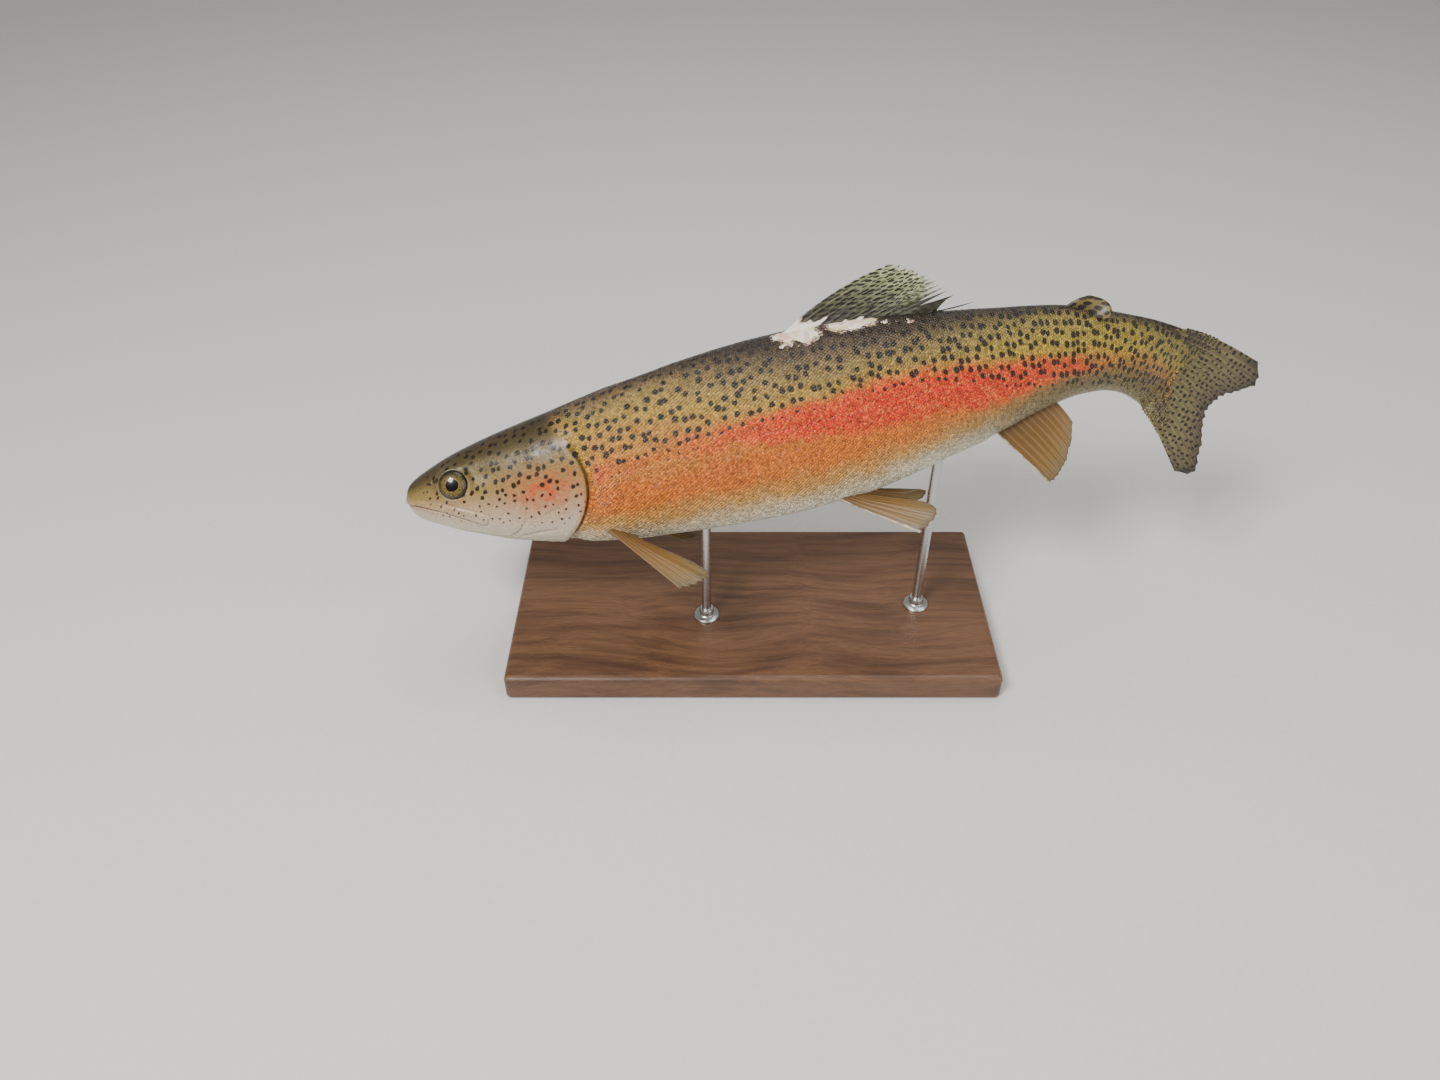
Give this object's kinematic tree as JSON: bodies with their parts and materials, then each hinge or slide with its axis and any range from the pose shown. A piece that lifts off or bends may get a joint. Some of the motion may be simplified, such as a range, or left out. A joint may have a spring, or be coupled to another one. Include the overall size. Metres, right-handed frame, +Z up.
{
  "type": "rainbow trout model",
  "caption": "Life-size still model of a rainbow trout, swimming with its tail dropped, held over a flat wooden base by steel rods.",
  "frame": {"origin": "the middle of the wooden base's underside, on the floor", "axes": "+X from the snout towards the tail, +Y towards the fish's right side, +Z up"},
  "size_m": [0.4993, 0.1453, 0.238],
  "materials": {
    "head_skin": "painted and lacquered skin with a wet look",
    "body_skin": "painted and lacquered skin with fine scales and a wet look",
    "spotted_fin": "thin olive web with black spots, lacquered",
    "amber_fin": "thin amber web with a pale front edge, lacquered",
    "eye": "clear dome over a brassy iris and a dark pupil",
    "base_wood": "oiled dark walnut with rounded edges",
    "rod_steel": "brushed along its length"
  },
  "bodies": {
    "root": {"head": "head_skin", "lower_jaw": "head_skin", "gill_cover_left": "head_skin", "gill_cover_right": "head_skin", "eye_left": "eye", "eye_right": "eye", "trunk": "body_skin", "tail_stalk": "body_skin", "dorsal_fin": "spotted_fin", "adipose_fin": "spotted_fin", "caudal_fin": "spotted_fin", "anal_fin": "amber_fin", "pectoral_fin_left": "amber_fin", "pectoral_fin_right": "amber_fin", "pelvic_fin_left": "amber_fin", "pelvic_fin_right": "amber_fin", "stand_base": "base_wood", "stand_rod_front": "rod_steel", "stand_rod_rear": "rod_steel"}
  },
  "joints": []
}
